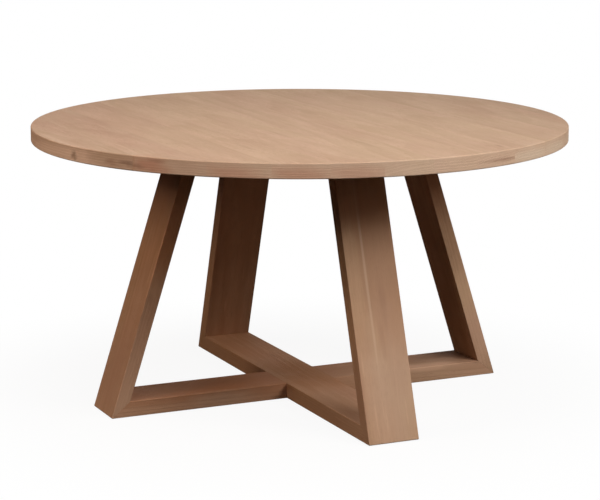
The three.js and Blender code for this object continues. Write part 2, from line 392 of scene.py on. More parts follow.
def circle(radius, height, steps):
    angles = [2 * math.pi * i / steps for i in range(steps)]
    return [Vector((radius * math.cos(a), radius * math.sin(a), height)) for a in angles]


# A round solid on a vertical axis, from pairs of radius and height
def addTurned(build, levels, steps, shift=Vector()):
    addRings(build, [[point + shift for point in circle(r, z, steps)] for r, z in levels])


# Radius and height of a disc's rings, with both rims rounded
def easedLevels(radius, low, high, ease, steps):
    levels = []
    for start, level in ((-90, low + ease), (0, high - ease)):
        for i in range(steps + 1):
            turn = math.radians(start + 90 * i / steps)
            levels.append((radius - ease + ease * math.cos(turn), level + ease * math.sin(turn)))
    return levels


# The outline of a slot along X with round ends
def stadiumRing(radius, travel, height):
    steps = 12
    points = []
    for side, start in ((1, -90), (-1, 90)):
        for i in range(steps + 1):
            angle = math.radians(start + 180 * i / steps)
            shift = side * travel / 2
            points.append(
                Vector((shift + radius * math.cos(angle), radius * math.sin(angle), height))
            )
    return points


def namesOf(stem):
    return sorted(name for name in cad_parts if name.startswith(stem))


def dress(piece, material, slotName, *replaced):
    piece.data.materials.clear()
    piece.data.materials.append(material)
    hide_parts(*replaced)
    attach(piece, "root")


# Effects shared by the materials. Growth says how the rings of a log lie and wander
growth = {
    "driftStretch": (5, 5, 1.1),
    "swellScale": 38.0,
    "swellYears": 2.4,  # how many rings fast and slow years shift the others
    "lateRise": (0.15, 0.86),
    "lateFall": (0.9, 1),
    "latePores": -0.65,  # late wood has fewer pores
}
# Stretch of each layer of noise across and along the log, detail, roughness and range used
figureLayers = {
    "Streaks": ((48, 48, 1.5), 5, 0.6, 0.3, 0.7),
    "Fibre": ((620, 620, 11), 4, 0.65, 0.3, 0.7),
    "Pores": ((1150, 1150, 42), 1, 0.5, 0.6, 0.72),
    "Flecks": ((105, 105, 7), 2, 0.5, 0.62, 0.74),
    "Patches": ((9, 9, 2.2), 3, 0.5, 0.32, 0.68),
    "Mottle": ((13, 13, 3.4), 3, 0.55, 0.34, 0.66),
}
surfaceEffects = {
    "endFacing": (0.35, 0.95),  # how squarely a face meets the grain, from long to end grain
    "rubRange": (0.3, 0.65),
    "markEdge": 0.4,
    "raggedScale": 1.7,
    "raggedShare": 0.9,
    "fineRange": (0.3, 0.7),
    "broadRange": (0.35, 0.65),
    "broadSize": 12.0,  # against the fine scratches
}


def makeFigureGroup():
    group, given, wanted = newGroup(
        "woodFigure",
        {"Log Place": (0, 0, 0), "Ring Spacing": 0.006, "Wander": 0.02},
        ["Rings", *figureLayers],
    )
    place = given["Log Place"]
    drift = stretchedNoise(group, place, growth["driftStretch"])["Color"]
    drift = vectorOf(group, "SUBTRACT", drift, (0.5, 0.5, 0.5))
    drift = vectorOf(group, "MULTIPLY", drift, given["Wander"])
    trunk = vectorOf(group, "MULTIPLY", vectorOf(group, "ADD", place, drift), (1, 1, 0))
    radius = measureOf(group, "LENGTH", trunk)
    swell = addNode(
        group,
        "ShaderNodeTexNoise",
        {"W": radius, "Scale": growth["swellScale"], "Detail": 1.0},
        noise_dimensions="1D",
    ).outputs[0]  # years of fast and slow growth
    years = calculate(group, "DIVIDE", radius, given["Ring Spacing"])
    years = calculate(group, "MULTIPLY_ADD", swell, growth["swellYears"], years)
    phase = calculate(group, "FRACT", years)
    rise = smoothStep(group, phase, *growth["lateRise"])
    fall = smoothStep(group, phase, *growth["lateFall"], 1, 0)
    late = calculate(group, "MULTIPLY", rise, fall)
    layers = {"Rings": late}
    for name, (stretch, detail, roughness, start, end) in figureLayers.items():
        noise = stretchedNoise(group, place, stretch, detail, roughness)[0]
        layers[name] = smoothStep(group, noise, start, end)
    early = calculate(group, "MULTIPLY_ADD", late, growth["latePores"], 1.0)
    layers["Pores"] = calculate(group, "MULTIPLY", layers["Pores"], early)
    for name, layer in layers.items():
        feed(group, wanted[name], layer)
    return group


def makeEndGrainGroup():
    group, given, wanted = newGroup("endGrain", {"Grain Axis": zAxis}, ["End"])
    normal = addNode(group, "ShaderNodeNewGeometry").outputs["Normal"]
    facing = measureOf(group, "DOT_PRODUCT", normal, given["Grain Axis"])
    facing = calculate(group, "ABSOLUTE", facing)
    feed(group, wanted["End"], smoothStep(group, facing, *surfaceEffects["endFacing"]))
    return group


# High where the surface turns from a face across Face Axis to one along it: worn arrises, and
# partly a painted highlight along them
def makeArrisGroup():
    group, given, wanted = newGroup(
        "arrisWornAndHighlight", {"Face Axis": zAxis, "Place": (0, 0, 0), "Grit": 60.0}, ["Wear"]
    )
    normal = addNode(group, "ShaderNodeNewGeometry").outputs["Normal"]
    facing = measureOf(group, "DOT_PRODUCT", normal, given["Face Axis"])
    square = calculate(group, "MULTIPLY", facing, facing)
    turn = calculate(group, "MULTIPLY", square, calculate(group, "SUBTRACT", 1.0, square))
    turn = calculate(group, "MULTIPLY", turn, 4.0)  # 1 half way round
    grit = {"Vector": given["Place"], "Scale": given["Grit"], "Detail": 3.0}
    rub = addNode(group, "ShaderNodeTexNoise", grit).outputs[0]
    rub = smoothStep(group, rub, *surfaceEffects["rubRange"])
    feed(group, wanted["Wear"], calculate(group, "MULTIPLY", turn, rub))
    return group


# A knot, a stain or a dark streak with a ragged edge; also painted light and painted shade
def makeMarkGroup():
    group, given, wanted = newGroup(
        "woodMark",
        {
            "Place": (0, 0, 0),
            "Centre": (0, 0, 0),
            "Reach": (0.01, 0.01, 0.01),
            "Edge": surfaceEffects["markEdge"],
        },
        ["Mark"],
    )
    away = vectorOf(group, "SUBTRACT", given["Place"], given["Centre"])
    away = vectorOf(group, "DIVIDE", away, given["Reach"])
    ragged = {"Vector": away, "Scale": surfaceEffects["raggedScale"], "Detail": 3.0}
    ragged = addNode(group, "ShaderNodeTexNoise", ragged).outputs[0]
    far = measureOf(group, "LENGTH", away)
    far = calculate(group, "MULTIPLY_ADD", ragged, surfaceEffects["raggedShare"], far)
    inside = calculate(group, "SUBTRACT", 1.0, given["Edge"])
    outside = calculate(group, "ADD", 1.0, given["Edge"])
    feed(group, wanted["Mark"], smoothStep(group, far, inside, outside, 1.0, 0.0))
    return group


# Fine scratches and smears on metal, and the nap of felt
def makeScuffGroup():
    group, given, wanted = newGroup(
        "scuffs", {"Place": (0, 0, 0), "Grain Size": 0.002}, ["Fine", "Broad"]
    )
    place = given["Place"]
    scale = calculate(group, "DIVIDE", 1.0, given["Grain Size"])
    wider = calculate(group, "DIVIDE", scale, surfaceEffects["broadSize"])
    fine = addNode(group, "ShaderNodeTexNoise", {"Vector": place, "Scale": scale, "Detail": 4.0})
    broad = addNode(group, "ShaderNodeTexNoise", {"Vector": place, "Scale": wider, "Detail": 2.0})
    fine = smoothStep(group, fine.outputs[0], *surfaceEffects["fineRange"])
    broad = smoothStep(group, broad.outputs[0], *surfaceEffects["broadRange"])
    feed(group, wanted["Fine"], fine)
    feed(group, wanted["Broad"], broad)
    return group


woodFigure = makeFigureGroup()
endGrain = makeEndGrainGroup()
arrisWornAndHighlight = makeArrisGroup()
woodMark = makeMarkGroup()
scuffs = makeScuffGroup()
print("shared effects made")

# Wood: colours are linear light
oak = {
    "pale": (0.668, 0.469, 0.337),
    "ruddy": (0.645, 0.418, 0.304),
    "straw": (0.688, 0.5, 0.347),
    "grainTone": (0.77, 0.72, 0.665),  # what the dark parts of the figure do to the colour
    "pore": (0.30, 0.175, 0.108),
    # lighter than the face: partly the end grain's own tone, partly painted light on the rim
    "endTint": (0.72, 0.52, 0.375),
    "ringSpacing": 0.0065,
    "wander": 0.022,
    "ringShare": 0.22,
    "streakShare": 0.18,
    "fibreShare": 0.24,
    "mottleShare": 0.24,
    "ruddyShare": 0.55,
    "strawShare": 0.5,
    "fleckShare": 0.45,
    "poreShare": 0.42,
    "endShare": 0.42,
    # lighter arrises: partly wear, partly a painted highlight
    "wornEdgeAndHighlightShare": 0.04,
    "endRings": -0.75,  # what end grain does to the rings
    "fleckLight": 1.1,
    "wornEdgeAndHighlightLift": 1.12,
    "roughness": 0.62,
    "fibreRoughness": 0.1,
    "poreRoughness": 0.15,
    "gloss": 0.05,
    "relief": 0.0002,
    "fibreHeight": 0.45,
    "poreHeight": -1.2,
}
frameOak = {
    **oak,
    "pale": (0.615, 0.386, 0.251),
    "ruddy": (0.595, 0.350, 0.227),
    "straw": (0.64, 0.421, 0.267),
    "endTint": (0.50, 0.292, 0.182),
    "gloss": 0.02,
    "streakShare": 0.24,
    "mottleShare": 0.26,
    # lighter arrises: partly wear, partly a painted highlight
    "wornEdgeAndHighlightShare": 0.25,
}
beech = {
    **oak,
    "pale": (0.64, 0.44, 0.27),
    "ruddy": (0.60, 0.36, 0.22),
    "straw": (0.62, 0.43, 0.26),
    "ringSpacing": 0.003,
    "poreShare": 0.15,
}
logLength = 40  # so long that no two pieces share their figure
# Tints of single knots, stains, streaks and bands, and of painted light and painted shade
tints = {
    "stain": (0.30, 0.165, 0.11),
    "umber": (0.42, 0.26, 0.17),
    "knot": (0.22, 0.125, 0.083),
    # painted warm shade on the rim of the front left boards
    "blush": (0.53, 0.265, 0.175),
    # painted light on the rim of the leftmost board
    "cream": (0.78, 0.57, 0.43),
    # partly a paler board, partly painted sheen on the rim
    "ash": (0.71, 0.565, 0.425),
    # darker heartwood, and painted shade low on the legs
    "heart": (0.45, 0.255, 0.163),
    # painted light
    "glow": (0.62, 0.345, 0.205),
    # painted light
    "pink": (0.67, 0.415, 0.29),
    # painted shade
    "russet": (0.50, 0.27, 0.165),
    # painted light
    "honey": (0.70, 0.46, 0.29),
    # painted shade
    "chestnut": (0.33, 0.175, 0.10),
    # painted light
    "amber": (0.9, 0.53, 0.32),
    "sand": (0.58, 0.41, 0.295),
    "bark": (0.36, 0.205, 0.135),
    "sapwood": (0.66, 0.47, 0.335),
    # painted warm shade
    "rust": (0.45, 0.215, 0.115),
    # painted warm shade
    "auburn": (0.37, 0.14, 0.055),
    # painted light
    "tan": (0.58, 0.35, 0.225),
    # painted light
    "apricot": (0.72, 0.45, 0.30),
    # painted shadow
    "dusk": (0.22, 0.115, 0.07),
    # painted warm shade
    "copper": (0.48, 0.22, 0.095),
    # painted warm shade
    "sienna": (0.38, 0.17, 0.07),
    "soot": (0.26, 0.15, 0.1),
}


# How a piece lay in its log: the turn and shift that carry object space into log space
def sawnFrom(centre, along, face, pith, lean, slide):
    side = along.cross(face).normalized()
    turn = Matrix.Rotation(lean, 3, "X") @ Matrix((side, face, along))
    shift = Vector((*pith, slide)) - turn @ centre
    return turn.to_euler(), shift


def tinted(colour, shade=1):
    return (*(channel * shade for channel in colour), 1)


def makeWood(name, wood, log, grain, face, shade=1.0, marks=()):
    material, tree, shader = newMaterial(name)
    place = addNode(tree, "ShaderNodeTexCoord").outputs["Object"]
    turn, shift = log
    inLog = addNode(
        tree, "ShaderNodeMapping", {"Vector": place, "Rotation": turn, "Location": shift}
    ).outputs[0]
    figure = placeGroup(
        tree,
        woodFigure,
        {"Log Place": inLog, "Ring Spacing": wood["ringSpacing"], "Wander": wood["wander"]},
    )
    end = placeGroup(tree, endGrain, {"Grain Axis": grain})["End"]
    endRings = wood["endRings"] * wood["ringShare"]
    ringShare = calculate(tree, "MULTIPLY_ADD", end, endRings, wood["ringShare"])
    depth = calculate(tree, "MULTIPLY", figure["Rings"], ringShare)
    depth = calculate(tree, "MULTIPLY_ADD", figure["Streaks"], wood["streakShare"], depth)
    depth = calculate(tree, "MULTIPLY_ADD", figure["Fibre"], wood["fibreShare"], depth)
    depth = calculate(tree, "MULTIPLY_ADD", figure["Mottle"], wood["mottleShare"], depth)
    ruddy = calculate(tree, "MULTIPLY", figure["Patches"], wood["ruddyShare"])
    colour = mixColours(tree, ruddy, tinted(wood["pale"], shade), tinted(wood["ruddy"], shade))
    yellow = calculate(tree, "SUBTRACT", 1.0, figure["Patches"])
    yellow = calculate(tree, "MULTIPLY", yellow, wood["strawShare"])
    colour = mixColours(tree, yellow, colour, tinted(wood["straw"], shade))
    colour = mixColours(tree, depth, colour, tinted(wood["grainTone"]), "MULTIPLY")
    flecks = calculate(tree, "MULTIPLY", figure["Flecks"], wood["fleckShare"])
    colour = mixColours(tree, flecks, colour, tinted(wood["pale"], shade * wood["fleckLight"]))
    ends = calculate(tree, "MULTIPLY", end, wood["endShare"])
    colour = mixColours(tree, ends, colour, tinted(wood["endTint"], shade))
    pores = calculate(tree, "MULTIPLY", figure["Pores"], wood["poreShare"])
    colour = mixColours(tree, pores, colour, tinted(wood["pore"]))
    for centre, reach, tint, share, *edge in marks:
        spot = {"Place": place, "Centre": centre, "Reach": reach}
        spot["Edge"] = edge[0] if edge else surfaceEffects["markEdge"]
        mark = calculate(tree, "MULTIPLY", placeGroup(tree, woodMark, spot)["Mark"], share)
        colour = mixColours(tree, mark, colour, tinted(tints[tint]))
    # arrises lighter: partly wear, partly a painted highlight
    wornEdgeAndHighlight = placeGroup(tree, arrisWornAndHighlight, {"Face Axis": face, "Place": place})["Wear"]
    wornEdgeAndHighlight = calculate(tree, "MULTIPLY", wornEdgeAndHighlight, wood["wornEdgeAndHighlightShare"])
    colour = mixColours(tree, wornEdgeAndHighlight, colour, tinted(wood["pale"], wood["wornEdgeAndHighlightLift"]))
    rough = calculate(
        tree, "MULTIPLY_ADD", figure["Fibre"], wood["fibreRoughness"], wood["roughness"]
    )
    rough = calculate(tree, "MULTIPLY_ADD", figure["Pores"], wood["poreRoughness"], rough)
    height = calculate(
        tree, "MULTIPLY_ADD", figure["Fibre"], wood["fibreHeight"], figure["Rings"]
    )
    height = calculate(tree, "MULTIPLY_ADD", figure["Pores"], wood["poreHeight"], height)
    bump = addNode(tree, "ShaderNodeBump", {"Height": height, "Distance": wood["relief"]})
    feed(tree, shader.inputs["Base Color"], colour)
    feed(tree, shader.inputs["Roughness"], rough)
    feed(tree, shader.inputs["Normal"], bump.outputs[0])
    shader.inputs["Specular IOR Level"].default_value = wood["gloss"]
    return material


# Top: boards glued edge to edge, with a spline in every seam
topBoards = {
    "easeRadius": 0.003,
    "easeSteps": 6,
    "arcStep": 0.75,  # degrees
    "fewestSteps": 6,
    "grooveClearance": 0.0003,
    # shades: each board's own tone, and painted light falling off towards both ends of the top, so
    # the boards at the left and right are darker and the middle ones lightest
    "shades": (0.91, 0.93, 0.97, 0.99, 1.0, 1.0, 1.01, 1.0, 0.99, 0.97, 0.94, 0.87),
    "ruddy": (0.6, 0.7, 0.45, 0.3, 0.22, 0.2, 0.25, 0.25, 0.15, 0.25, 0.3, 0.4),
    "colourShare": 0.9,  # ruddy and straw together
    "besideShare": 0.45,  # boards with straight grain, from beside the heart of the log
    "pithBeside": ((0.12, 0.22), (0.02, 0.05)),  # how far aside and how far below the heart lies
    "pithOver": ((0.0, 0.05), (0.07, 0.16)),
    "lean": 1.2,  # degrees between the board and its log
    "seed": 11,
}
# Marks on the rim and the face: board number, then centre, reach, tint and strength
boardMarks = {
    0: [
        # painted light: the rim of this board lighter
        ((-0.722, -0.12, 0.736), (0.09, 0.4, 0.036), "cream", 0.9),
        ((-0.700, -0.220, 0.737), (0.03, 0.03, 0.026), "cream", 0.6),
        ((-0.712, -0.178, 0.738), (0.02, 0.020, 0.017), "knot", 0.6),
        ((-0.663, -0.315, 0.738), (0.03, 0.034, 0.012), "stain", 0.4),
        ((-0.636, -0.364, 0.740), (0.04, 0.045, 0.009), "knot", 0.6),
    ],
    1: [
        # painted warm shade: the rim darker and redder
        ((-0.599, -0.425, 0.739), (0.07, 0.10, 0.034), "blush", 0.75),
        ((-0.620, -0.392, 0.736), (0.03, 0.032, 0.008), "stain", 0.5),
        ((-0.590, -0.437, 0.753), (0.04, 0.04, 0.006), "stain", 0.4),
    ],
    # painted warm shade, low on the rim
    2: [((-0.440, -0.587, 0.729), (0.14, 0.12, 0.036), "blush", 0.55)],
    3: [
        # painted warm shade, low on the rim
        ((-0.300, -0.670, 0.730), (0.15, 0.12, 0.036), "blush", 0.6),
        ((-0.321, -0.38, 0.762), (0.012, 0.09, 0.006), "umber", 0.3),
    ],
    4: [
        # painted warm shade, low on the rim
        ((-0.170, -0.714, 0.731), (0.14, 0.12, 0.036), "blush", 0.45),
        ((-0.150, -0.2, 0.762), (0.010, 0.10, 0.006), "umber", 0.25),
    ],
    5: [((-0.02, -0.46, 0.762), (0.012, 0.11, 0.006), "umber", 0.3)],
    7: [
        ((0.245, -0.692, 0.7385), (0.115, 0.06, 0.0078), "stain", 0.5),
        ((0.273, -0.622, 0.762), (0.008, 0.04, 0.006), "stain", 0.4),
    ],
    # partly a paler board, partly painted sheen: the rim of boards 8 to 10 paler and greyer
    8: [((0.355, -0.642, 0.735), (0.15, 0.14, 0.03), "ash", 0.75)],
    9: [((0.485, -0.55, 0.735), (0.16, 0.15, 0.03), "ash", 0.75)],
    10: [((0.615, -0.40, 0.735), (0.15, 0.2, 0.03), "ash", 0.6)],
}


# A board's outline: two arcs of the table's rim, joined by its seams
def seamRing(left, right, radius, height, steps):
    points = []
    for side in (1, -1):
        first = math.acos(max(-1, min(1, (right if side > 0 else left) / radius)))
        last = math.acos(max(-1, min(1, (left if side > 0 else right) / radius)))
        for i in range(steps + 1):
            angle = side * (first + (last - first) * i / steps)
            points.append(Vector((radius * math.cos(angle), radius * math.sin(angle), height)))
    return points


def makeBoard(index, nodeName):
    low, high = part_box(nodeName)
    radius = cadHigh.x
    levels = easedLevels(radius, low.z, high.z, topBoards["easeRadius"], topBoards["easeSteps"])
    # the outermost boards have a seam on one side only
    left = -2 * radius if index == 0 else low.x
    right = 2 * radius if index == len(boardNames) - 1 else high.x
    span = math.acos(max(-1, left / radius)) - math.acos(min(1, right / radius))
    steps = max(topBoards["fewestSteps"], round(math.degrees(span) / topBoards["arcStep"]))
    build = bmesh.new()
    addRings(build, [seamRing(left, right, r, z, steps) for r, z in levels])
    mergeFlats(build, distance=1e-6)
    return pieceFrom(f"topBoard{index + 1:02d}", build)


def cutGrooves(board, index):
    clear = topBoards["grooveClearance"]
    cutters = bmesh.new()
    for i in (index - 1, index):
        if 0 <= i < len(splineNames):
            low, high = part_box(splineNames[i])
            addBlock(cutters, low - Vector((clear, clear, 0)), high + Vector((clear, clear, 0)))
    carve(board, cutters)


# The stepped hole under a board that takes an insert and the tip of its screw
insertHole = {
    "flangeRadius": 0.0083,
    "flangeDepth": 0.0015,
    "sleeveRadius": 0.0063,
    "depth": 0.014,
    "steps": 48,
}


def cutInsertHoles(board, low, high):
    levels = [
        (insertHole["flangeRadius"], -overshoot),
        (insertHole["flangeRadius"], insertHole["flangeDepth"]),
        (insertHole["sleeveRadius"], insertHole["flangeDepth"]),
        (insertHole["sleeveRadius"], insertHole["depth"]),
    ]
    cutters = bmesh.new()
    for name in insertNames:
        first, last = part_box(name)
        middle = (first + last) / 2
        if low.x < middle.x < high.x:
            shift = Vector((middle.x, middle.y, low.z))
            addTurned(cutters, levels, insertHole["steps"], shift)
    if cutters.verts:
        carve(board, cutters)


boardNames = namesOf("top_board")
splineNames = namesOf("top_spline")
insertNames = namesOf("insert")
draw = random.Random(topBoards["seed"])
for boardIndex, boardName in enumerate(boardNames):
    board = makeBoard(boardIndex, boardName)
    boardLow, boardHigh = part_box(boardName)
    cutGrooves(board, boardIndex)
    cutInsertHoles(board, boardLow, boardHigh)
    smoothFaces(board)
    beside = draw.random() < topBoards["besideShare"]
    aside, below = topBoards["pithBeside"] if beside else topBoards["pithOver"]
    pith = (draw.choice((-1, 1)) * draw.uniform(*aside), -draw.uniform(*below))
    lean = math.radians(draw.uniform(-topBoards["lean"], topBoards["lean"]))
    slide = draw.uniform(0, logLength)
    ruddy = topBoards["ruddy"][boardIndex]
    boardWood = makeWood(
        f"oakBoard{boardIndex + 1:02d}",
        {**oak, "ruddyShare": ruddy, "strawShare": topBoards["colourShare"] - ruddy},
        sawnFrom((boardLow + boardHigh) / 2, yAxis, zAxis, pith, lean, slide),
        yAxis,
        zAxis,
        topBoards["shades"][boardIndex],
        boardMarks.get(boardIndex, ()),
    )
    dress(board, boardWood, "top_wood", boardName)
print("top made,", len(boardNames), "boards")

# Frames: each is one ring of mitred stock, here in its own plane with U along it and V across
frames = {
    "footSpan": 1.173,
    "headSpan": 0.709,
    "height": 0.720,
    "stockWidth": 0.144,
    "legThickness": 0.039,
    "railHeight": 0.0425,
    "arrisRadius": 0.002,
    "arrisSteps": 5,
    "cornerRadius": 0.0025,
    "cornerSteps": 6,
    "glueLine": 0.0003,
    "lapClearance": 0.0003,
    "colourShare": 0.95,  # ruddy and straw together
    "pith": ((-0.06, 0.06), (0.05, 0.13)),  # how far aside and how far below the heart lies
    "lean": 0.8,  # degrees between a bar and its log
    "seed": 5,
}
# Place is where a mortise's middle lies, as a share of its mitre from the outer end
mortises = {"width": 0.1106, "thickness": 0.0086, "reach": 0.0143, "place": 0.54}
screwSlots = {"shaft": 0.0043, "bore": 0.0091, "travel": 0.006, "boreHeight": 0.0175}


def flat(u, z):
    return Vector((u, 0, z))


def frameCorners():
    slope = (frames["footSpan"] - frames["headSpan"]) / 2 / frames["height"]
    run = frames["legThickness"] * math.hypot(1, slope)
    rise = frames["railHeight"]
    foot = frames["footSpan"] / 2
    head = frames["headSpan"] / 2
    outer = [flat(foot, 0), flat(head, frames["height"])]
    inner = [
        flat(foot - slope * rise - run, rise),
        flat(head + slope * rise - run, frames["height"] - rise),
    ]
    return [[a, b, flat(-b.x, b.z), flat(-a.x, a.z)] for a, b in (outer, inner)]


outerCorners, innerCorners = frameCorners()


def cornerSides(corners, i):
    before = (corners[i - 1] - corners[i]).normalized()
    after = (corners[(i + 1) % 4] - corners[i]).normalized()
    return before, after, (before + after).normalized(), before.angle(after) / 2


# One loop of the ring: the outer corners are round, the inner ones sharp
def outerLoop(inset, v):
    radius = frames["cornerRadius"]
    steps = frames["cornerSteps"]
    points = []
    for i in range(4):
        before, after, middle, half = cornerSides(outerCorners, i)
        centre = outerCorners[i] + middle * radius / math.sin(half)
        start = Vector((-before.z, 0, before.x))  # square to the sides, pointing out
        end = Vector((after.z, 0, -after.x))
        for k in range(steps + 1):
            out = start.slerp(end, k / steps)
            point = centre + out * (radius - inset)
            points.append(Vector((point.x, v, point.z)))
    return points


def innerLoop(inset, v):
    points = []
    for i in range(4):
        _, _, middle, half = cornerSides(innerCorners, i)
        point = innerCorners[i] - middle * inset / math.sin(half)
        points.append(Vector((point.x, v, point.z)))
    return points


def makeRing():
    radius = frames["arrisRadius"]
    half = frames["stockWidth"] / 2
    profile = []
    for start, side in ((-90, -1), (0, 1)):
        for i in range(frames["arrisSteps"] + 1):
            turn = math.radians(start + 90 * i / frames["arrisSteps"])
            inset = radius * (1 - math.cos(turn))
            profile.append((inset, side * (half - radius) + radius * math.sin(turn)))
    build = bmesh.new()
    outer = [[build.verts.new(p) for p in outerLoop(inset, v)] for inset, v in profile]
    inner = [[build.verts.new(p) for p in innerLoop(inset, v)] for inset, v in profile]
    joinLoops(build, outer)
    joinLoops(build, inner)
    perCorner = frames["cornerSteps"] + 1
    for edge, hole in ((outer[0], inner[0]), (outer[-1], inner[-1])):
        for i in range(4):
            corner = edge[i * perCorner : (i + 1) * perCorner]
            following = edge[(i + 1) * perCorner % len(edge)]
            build.faces.new((*corner, hole[i]))
            build.faces.new((corner[-1], following, hole[(i + 1) % 4], hole[i]))
    bmesh.ops.recalc_face_normals(build, faces=build.faces)
    return build


# Keeps what lies beyond a plane, on the side that the normal points to, and fills the cut
def keepBeyond(build, point, normal):
    cut = bmesh.ops.bisect_plane(
        build,
        geom=[*build.verts, *build.edges, *build.faces],
        dist=1e-7,
        plane_co=point,
        plane_no=normal,
        clear_inner=True,
    )
    edges = [part for part in cut["geom_cut"] if isinstance(part, bmesh.types.BMEdge)]
    bmesh.ops.edgeloop_fill(build, edges=edges)


# A mitre of the +U side: its outer end, the way along it, the way across it and its length
def mitreAt(i):
    way = innerCorners[i] - outerCorners[i]
    along = way.normalized()
    return outerCorners[i], along, Vector((along.z, 0, -along.x)), way.length


footMitre = mitreAt(0)
headMitre = mitreAt(1)


def flipped(vector):
    return Vector((-vector.x, vector.y, vector.z))


def mortiseCutter(mitre):
    point, along, across, length = mitre
    radius = mortises["thickness"] / 2
    travel = mortises["width"] - mortises["thickness"]
    middle = point + along * length * mortises["place"]
    turn = Matrix((yAxis, along, across)).transposed().to_4x4()
    place = Matrix.Translation(middle) @ turn
    cutters = bmesh.new()
    rings = [stadiumRing(radius, travel, side * mortises["reach"]) for side in (-1, 1)]
    addRings(cutters, [[place @ p for p in ring] for ring in rings])
    return cutters


def cleanFlats(piece):
    build = bmesh.new()
    build.from_mesh(piece.data)
    mergeFlats(build, distance=2e-5)
    build.to_mesh(piece.data)
    build.free()


def makeLeg(name):
    build = makeRing()
    gap = frames["glueLine"] / 2
    for (point, _, across, _), side in ((footMitre, 1), (headMitre, -1)):
        keepBeyond(build, point + across * side * gap, across * side)
    leg = pieceFrom(name, build)
    carve(leg, mortiseCutter(footMitre))
    carve(leg, mortiseCutter(headMitre))
    cleanFlats(leg)
    return leg


def makeRail(name, mitre, bottom, takesUpperHalf):
    build = makeRing()
    gap = frames["glueLine"] / 2
    point, _, across, _ = mitre
    away = -across if mitre is footMitre else across
    keepBeyond(build, point + away * gap, away)
    keepBeyond(build, flipped(point + away * gap), flipped(away))
    rail = pieceFrom(name, build)
    half = frames["stockWidth"] / 2
    top = bottom + frames["railHeight"]
    # the arrises stay square where the rails cross, so that the lap is flush
    square = bmesh.new()
    addBlock(square, (-half, -half, bottom), (half, half, top))
    carve(rail, square, "UNION")
    middle = (bottom + top) / 2
    wide = half + frames["lapClearance"]
    low, high = (middle, top + overshoot) if takesUpperHalf else (bottom - overshoot, middle)
    notch = bmesh.new()
    addBlock(notch, (-wide, -1, low), (wide, 1, high))  # far past both sides of the rail
    carve(rail, notch)
    carve(rail, mortiseCutter(mitre))
    mirrored = mortiseCutter(mitre)
    bmesh.ops.rotate(mirrored, verts=mirrored.verts, matrix=Matrix.Rotation(math.pi, 3, "Z"))
    carve(rail, mirrored)
    cleanFlats(rail)
    return rail


def cutScrewSlots(rail, bottom, places, slotTurn):
    top = bottom + frames["railHeight"]
    for radius, height in (
        (screwSlots["bore"], bottom + screwSlots["boreHeight"]),
        (screwSlots["shaft"], top + overshoot),
    ):
        cutters = bmesh.new()
        for place in places:
            move = Matrix.Translation((place, 0, 0)) @ Matrix.Rotation(slotTurn, 4, "Z")
            rings = [
                [move @ p for p in stadiumRing(radius, screwSlots["travel"], z)]
                for z in (bottom - overshoot, height)
            ]
            addRings(cutters, rings)
        carve(rail, cutters)
    cleanFlats(rail)


def standUp(piece, turn):
    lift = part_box("glide_right")[1].z
    piece.data.transform(Matrix.Translation((0, 0, lift)) @ Matrix.Rotation(turn, 4, "Z"))


draw = random.Random(frames["seed"])


def barWood(name, low, high, along, face, settings, marks):
    aside, below = frames["pith"]
    pith = (draw.uniform(*aside), -draw.uniform(*below))
    lean = math.radians(draw.uniform(-frames["lean"], frames["lean"]))
    log = sawnFrom((low + high) / 2, along, face, pith, lean, draw.uniform(0, logLength))
    ruddy = settings["ruddy"]
    wood = {**frameOak, "ruddyShare": ruddy, "strawShare": frames["colourShare"] - ruddy}
    return makeWood(name, wood, log, along, face.cross(along), settings["shade"], marks)


# Shade is each leg's own tone, and partly painted light and shade: the right leg darker, the left
# leg lighter
legs = {
    "right": {"turn": 0.0, "shade": 0.9, "ruddy": 0.5},
    "left": {"turn": math.pi, "shade": 0.97, "ruddy": 0.9},
    "back": {"turn": math.pi / 2, "shade": 0.92, "ruddy": 0.8},
    "front": {"turn": -math.pi / 2, "shade": 0.95, "ruddy": 0.15},
}
# Marks of the legs and rails: centre, reach, tint, strength and, in one, a crisper edge
legMarks = {
    "right": [
        # painted shade high on the near side, under the top
        ((0.385, -0.072, 0.58), (0.08, 0.03, 0.17), "russet", 0.5),
        # painted light low on the near side
        ((0.478, -0.072, 0.24), (0.1, 0.03, 0.16), "honey", 0.7),
        ((0.535, -0.072, 0.13), (0.09, 0.04, 0.16), "pink", 0.55),
        # painted shade low on the inner face
        ((0.48, 0.03, 0.16), (0.1, 0.11, 0.22), "chestnut", 0.75),
    ],
    "left": [
        # painted light: the upper leg and its near side lighter
        ((-0.38, 0.0, 0.60), (0.12, 0.12, 0.26), "glow", 0.8),
        ((-0.44, -0.074, 0.47), (0.2, 0.008, 0.28), "amber", 0.85),
        # painted shade: the foot darker
        ((-0.55, 0.0, 0.10), (0.14, 0.2, 0.2), "heart", 0.5),
    ],
    "front": [
        ((0.035, -0.46, 0.42), (0.126, 0.3, 0.50), "heart", 0.55, 0.12),
        ((0.02, -0.54, 0.12), (0.12, 0.2, 0.27), "sand", 0.45),
        ((0.018, -0.485, 0.36), (0.02, 0.06, 0.13), "bark", 0.35),
        ((0.004, -0.50, 0.25), (0.012, 0.04, 0.09), "bark", 0.3),
        ((-0.019, -0.44, 0.40), (0.006, 0.17, 0.42), "sapwood", 0.6),
        # painted shade: the left side face darker near the foot
        ((-0.072, -0.54, 0.12), (0.014, 0.14, 0.3), "heart", 0.6),
    ],
}
